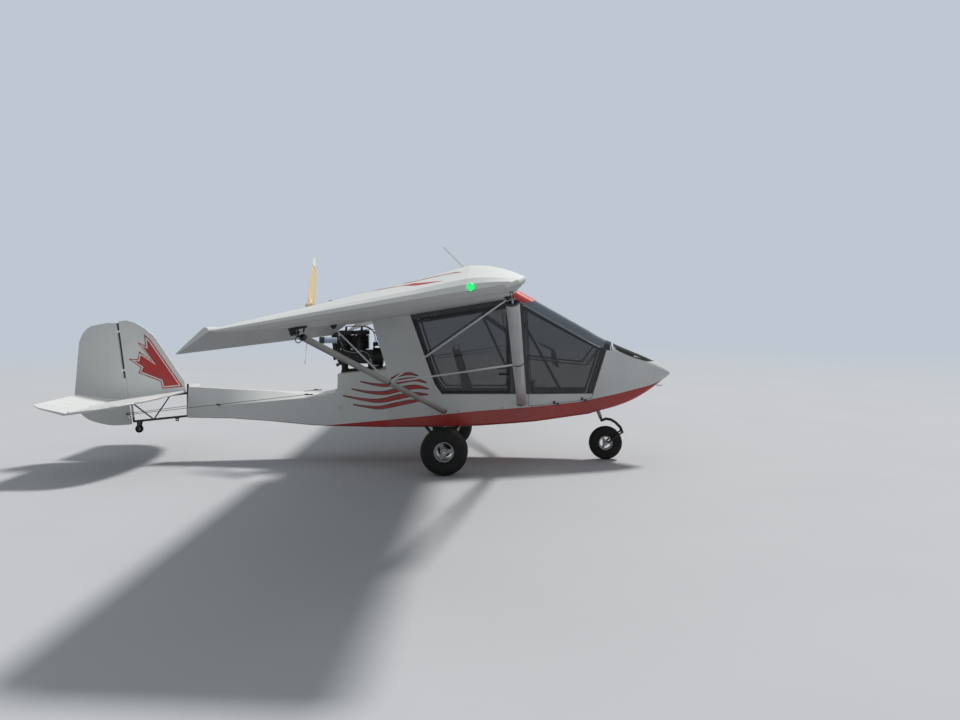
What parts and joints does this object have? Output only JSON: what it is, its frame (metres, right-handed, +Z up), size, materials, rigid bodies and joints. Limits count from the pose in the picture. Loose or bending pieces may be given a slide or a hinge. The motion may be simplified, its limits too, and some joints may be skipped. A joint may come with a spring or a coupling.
{
  "type": "microlight aircraft",
  "caption": "Two-seat tandem high-wing microlight aircraft with strut-braced fabric wing, pusher propeller behind the wing, enclosed pod cabin and tricycle landing gear",
  "frame": {"origin": "centre of the base: on the ground, midway between nose tip and rudder edge, on the centre plane", "axes": "+X forward, +Y to port, +Z up"},
  "size_m": [6.1, 9.6, 2.1801],
  "materials": {
    "covering_white": "satin",
    "shell_white": "gloss",
    "shell_red": "gloss",
    "glazing": "gloss",
    "bare_tube": "satin",
    "black_steel": "satin",
    "engine_black": "satin",
    "intake_blue": "satin",
    "exhaust_steel": "satin",
    "tyre_black": "matte",
    "rim_alloy": "satin",
    "prop_wood": "gloss",
    "seat_cloth": "matte",
    "panel_grey": "satin",
    "lamp_green": "gloss",
    "lamp_red": "gloss"
  },
  "bodies": {
    "airframe": {"aerial": "bare_tube", "belly_pan": "shell_red", "cabin_frame": "black_steel", "control_stick": "black_steel", "engine": "engine_black", "engine_deck": "covering_white", "exhaust": "exhaust_steel", "fin": "covering_white", "front_struts": "bare_tube", "instrument_panel": "panel_grey", "intake": "intake_blue", "jury_struts": "bare_tube", "main_gear_legs": "black_steel", "nav_lamp_left": "lamp_red", "nav_lamp_right": "lamp_green", "nose_cowl": "shell_white", "rear_bulkhead": "shell_white", "rear_struts": "bare_tube", "reduction_drive": "engine_black", "seat_front": "seat_cloth", "seat_legs": "black_steel", "seat_rear": "seat_cloth", "side_panel_left": "shell_white", "side_panel_right": "shell_white", "strut_fittings": "black_steel", "tail_boom": "covering_white", "tail_frame": "bare_tube", "tailplane": "covering_white", "windscreen": "glazing", "windscreen_cap": "shell_red", "wing_center": "covering_white", "wing_left": "covering_white", "wing_right": "covering_white"},
    "propeller": {"propeller": "prop_wood"},
    "nose_fork": {"nose_fork": "black_steel"},
    "nose_wheel": {"nose_tyre": "tyre_black", "nose_rim": "rim_alloy"},
    "main_wheel_left": {"main_tyre_left": "tyre_black", "main_rim_left": "rim_alloy"},
    "main_wheel_right": {"main_tyre_right": "tyre_black", "main_rim_right": "rim_alloy"},
    "tail_wheel": {"tail_wheel": "tyre_black"},
    "rudder": {"rudder": "covering_white"},
    "elevators": {"elevators": "covering_white"},
    "aileron_left": {"aileron_left": "covering_white"},
    "aileron_right": {"aileron_right": "covering_white"},
    "rear_door_left": {"rear_door_left": "black_steel", "rear_door_glass_left": "glazing"},
    "rear_door_right": {"rear_door_right": "black_steel", "rear_door_glass_right": "glazing"},
    "front_door_left": {"front_door_left": "shell_white", "front_door_glass_left": "glazing"},
    "front_door_right": {"front_door_right": "shell_white", "front_door_glass_right": "glazing"}
  },
  "joints": [
    {"name": "propeller_spin", "type": "hinge", "parent": "airframe", "child": "propeller", "pos_m": [-0.63386, 0, 1.54986], "axis": [-0.9962, 0, -0.0872], "continuous": true},
    {"name": "nose_steer", "type": "hinge", "parent": "airframe", "child": "nose_fork", "pos_m": [2.357, 0, 0.396], "axis": [-0.3471, 0, 0.9378], "range_deg": [-25, 25]},
    {"name": "nose_wheel_spin", "type": "hinge", "parent": "nose_fork", "child": "nose_wheel", "pos_m": [2.396, 0, 0.169], "axis": [0, 1, 0], "continuous": true},
    {"name": "main_wheel_left_spin", "type": "hinge", "parent": "airframe", "child": "main_wheel_left", "pos_m": [0.786, 0.84, 0.2215], "axis": [0, 1, 0], "continuous": true},
    {"name": "main_wheel_right_spin", "type": "hinge", "parent": "airframe", "child": "main_wheel_right", "pos_m": [0.786, -0.84, 0.2215], "axis": [0, 1, 0], "continuous": true},
    {"name": "tail_wheel_spin", "type": "hinge", "parent": "airframe", "child": "tail_wheel", "pos_m": [-2.389, 0, 0.31], "axis": [0, 1, 0], "continuous": true},
    {"name": "rudder_turn", "type": "hinge", "parent": "airframe", "child": "rudder", "pos_m": [-2.474, 0, 0.357], "axis": [-0.1357, 0, 0.9908], "range_deg": [-25, 25]},
    {"name": "elevator_tilt", "type": "hinge", "parent": "airframe", "child": "elevators", "pos_m": [-2.579, 0, 0.611], "axis": [0, 1, 0], "range_deg": [-37, 12]},
    {"name": "aileron_left_tilt", "type": "hinge", "parent": "airframe", "child": "aileron_left", "pos_m": [-0.18844, 0.47, 1.40719], "axis": [0, 0.9998, 0.0175], "range_deg": [-2, 50]},
    {"name": "aileron_right_tilt", "type": "hinge", "parent": "airframe", "child": "aileron_right", "pos_m": [-0.18844, -0.47, 1.40719], "axis": [0, 0.9998, -0.0175], "range_deg": [-2, 50]},
    {"name": "rear_door_left_open", "type": "hinge", "parent": "airframe", "child": "rear_door_left", "pos_m": [0.62, 0.337, 1.46198], "axis": [0.9869, 0, 0.1616], "range_deg": [0, 75]},
    {"name": "rear_door_right_open", "type": "hinge", "parent": "airframe", "child": "rear_door_right", "pos_m": [0.62, -0.337, 1.46198], "axis": [-0.9869, 0, -0.1616], "range_deg": [0, 75]},
    {"name": "front_door_left_open", "type": "hinge", "parent": "airframe", "child": "front_door_left", "pos_m": [1.866, 0.3139, 0.60788], "axis": [-0.9903, 0.074, -0.1173], "range_deg": [0, 85]},
    {"name": "front_door_right_open", "type": "hinge", "parent": "airframe", "child": "front_door_right", "pos_m": [1.866, -0.3139, 0.60788], "axis": [0.9903, 0.074, 0.1173], "range_deg": [0, 85]}
  ]
}
